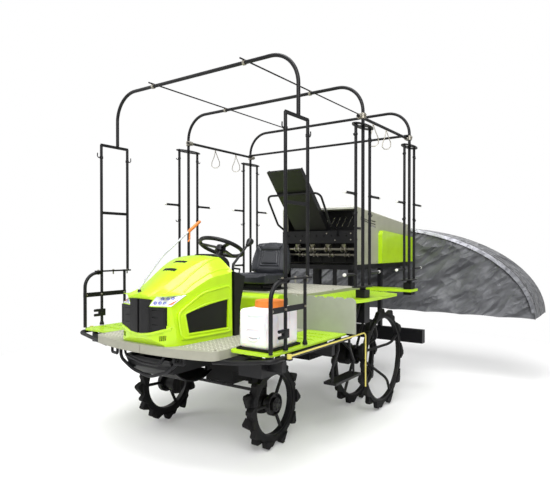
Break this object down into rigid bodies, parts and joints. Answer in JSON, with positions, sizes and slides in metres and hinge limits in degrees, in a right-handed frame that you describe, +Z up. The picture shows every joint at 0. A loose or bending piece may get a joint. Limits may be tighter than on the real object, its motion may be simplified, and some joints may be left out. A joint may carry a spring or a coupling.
{
  "type": "rice seedling broadcaster",
  "caption": "Ride-on paddy machine with lugged wheels, stepped decks, tray racks under a hoop frame and a cloth-hooded seeding unit.",
  "frame": {"origin": "on the ground under the middle of the machine's outline", "axes": "+Z up, the nose towards -Y, +X to the machine's left"},
  "size_m": [3.9, 4.6, 2.8983],
  "materials": {
    "black_paint": "satin",
    "cast_metal": "matte",
    "axle_iron": "satin",
    "deck_plate": "satin",
    "lime_paint": "satin",
    "lime_plastic": "gloss",
    "riser_plastic": "matte",
    "seat_vinyl": "satin",
    "dark_plastic": "matte",
    "white_tank": "satin",
    "orange_cap": "satin",
    "housing_sheet": "satin",
    "bright_steel": "satin",
    "hood_cloth": "matte",
    "lamp_glass": "gloss",
    "pole_plastic": "gloss",
    "lugged_tyre": "matte",
    "wheel_paint": "satin",
    "marker_paint": "satin"
  },
  "bodies": {
    "root": {"chassis_frame": "black_paint", "engine_and_gearbox": "cast_metal", "front_axle": "axle_iron", "rear_axle": "axle_iron", "front_deck": "deck_plate", "side_steps": "lime_paint", "side_tubes": "black_paint", "riser_panel": "riser_plastic", "upper_deck": "deck_plate", "side_decks": "lime_paint", "seat_plinth": "lime_paint", "driver_seat": "seat_vinyl", "seat_mount": "black_paint", "console": "dark_plastic", "side_tank": "white_tank", "tank_cap": "orange_cap", "tank_tray": "black_paint", "front_racks": "black_paint", "overhead_hoops": "black_paint", "roof_rails": "black_paint", "post_brackets": "black_paint", "foot_steps": "black_paint", "unit_frame": "black_paint", "unit_housing": "housing_sheet", "feed_beam": "black_paint", "feed_shafts": "bright_steel", "louvre_panel": "dark_plastic", "feed_tray": "dark_plastic", "tray_guard": "black_paint", "side_covers": "lime_plastic", "levelling_bar": "black_paint", "cloth_hood": "hood_cloth"},
    "hood": {"hood": "lime_plastic", "grilles": "dark_plastic", "headlamps": "lamp_glass", "sight_pole": "pole_plastic"},
    "steering_wheel": {"steering_wheel": "dark_plastic"},
    "knuckle_left": {"knuckle_left": "axle_iron"},
    "knuckle_right": {"knuckle_right": "axle_iron"},
    "tie_rod": {"tie_rod": "black_paint"},
    "front_wheel_left": {"front_tyre_left": "lugged_tyre", "front_rim_left": "wheel_paint"},
    "rear_wheel_left": {"rear_tyres_left": "lugged_tyre", "rear_rims_left": "wheel_paint"},
    "line_marker_left": {"line_marker_left": "marker_paint"},
    "tray_rack_middle_left": {"tray_rack_middle_left": "black_paint"},
    "tray_rack_rear_left": {"tray_rack_rear_left": "black_paint"},
    "front_wheel_right": {"front_tyre_right": "lugged_tyre", "front_rim_right": "wheel_paint"},
    "rear_wheel_right": {"rear_tyres_right": "lugged_tyre", "rear_rims_right": "wheel_paint"},
    "line_marker_right": {"line_marker_right": "marker_paint"},
    "tray_rack_middle_right": {"tray_rack_middle_right": "black_paint"},
    "tray_rack_rear_right": {"tray_rack_rear_right": "black_paint"}
  },
  "joints": [
    {"name": "hood_hinge", "type": "hinge", "parent": "root", "child": "hood", "pos_m": [0, -1.664, 1.428], "axis": [-1, 0, 0], "range_deg": [0, 40]},
    {"name": "steering", "type": "hinge", "parent": "root", "child": "knuckle_left", "pos_m": [0.47, -1.5, 0.4], "axis": [0, 0, 1], "range_deg": [-40, 40]},
    {"name": "steering_right", "type": "hinge", "parent": "root", "child": "knuckle_right", "pos_m": [-0.47, -1.5, 0.4], "axis": [0, 0, 1], "range_deg": [-40, 40]},
    {"name": "tie_rod_pin", "type": "hinge", "parent": "knuckle_left", "child": "tie_rod", "pos_m": [0.47, -1.61, 0.44], "axis": [0, 0, 1], "range_deg": [-40, 40]},
    {"name": "steering_wheel_spin", "type": "hinge", "parent": "root", "child": "steering_wheel", "pos_m": [0, -1.43, 1.52], "axis": [0, 0.4167, 0.9091], "range_deg": [-480, 480]},
    {"name": "front_wheel_spin_left", "type": "hinge", "parent": "knuckle_left", "child": "front_wheel_left", "pos_m": [0.58, -1.5, 0.325], "axis": [1, 0, 0], "continuous": true},
    {"name": "rear_wheel_spin_left", "type": "hinge", "parent": "root", "child": "rear_wheel_left", "pos_m": [0.58, -0.12, 0.467], "axis": [1, 0, 0], "continuous": true},
    {"name": "line_marker_swing_left", "type": "hinge", "parent": "root", "child": "line_marker_left", "pos_m": [1.036, -1.95, 0.822], "axis": [0, 0, -1], "range_deg": [0, 90]},
    {"name": "tray_rack_swivel_middle_left", "type": "hinge", "parent": "root", "child": "tray_rack_middle_left", "pos_m": [1, -0.81, 1.8], "axis": [0, 0, 1], "continuous": true},
    {"name": "tray_rack_swivel_rear_left", "type": "hinge", "parent": "root", "child": "tray_rack_rear_left", "pos_m": [1, 0.235, 1.8], "axis": [0, 0, 1], "continuous": true},
    {"name": "front_wheel_spin_right", "type": "hinge", "parent": "knuckle_right", "child": "front_wheel_right", "pos_m": [-0.58, -1.5, 0.325], "axis": [1, 0, 0], "continuous": true},
    {"name": "rear_wheel_spin_right", "type": "hinge", "parent": "root", "child": "rear_wheel_right", "pos_m": [-0.58, -0.12, 0.467], "axis": [1, 0, 0], "continuous": true},
    {"name": "line_marker_swing_right", "type": "hinge", "parent": "root", "child": "line_marker_right", "pos_m": [-1.036, -1.95, 0.822], "axis": [0, 0, 1], "range_deg": [0, 90]},
    {"name": "tray_rack_swivel_middle_right", "type": "hinge", "parent": "root", "child": "tray_rack_middle_right", "pos_m": [-1, -0.81, 1.8], "axis": [0, 0, 1], "continuous": true},
    {"name": "tray_rack_swivel_rear_right", "type": "hinge", "parent": "root", "child": "tray_rack_rear_right", "pos_m": [-1, 0.235, 1.8], "axis": [0, 0, 1], "continuous": true}
  ],
  "couplings": [
    {"joint": "steering_right", "follows": "steering", "ratio": 1},
    {"joint": "tie_rod_pin", "follows": "steering", "ratio": -1},
    {"joint": "steering_wheel_spin", "follows": "steering", "ratio": 12}
  ]
}
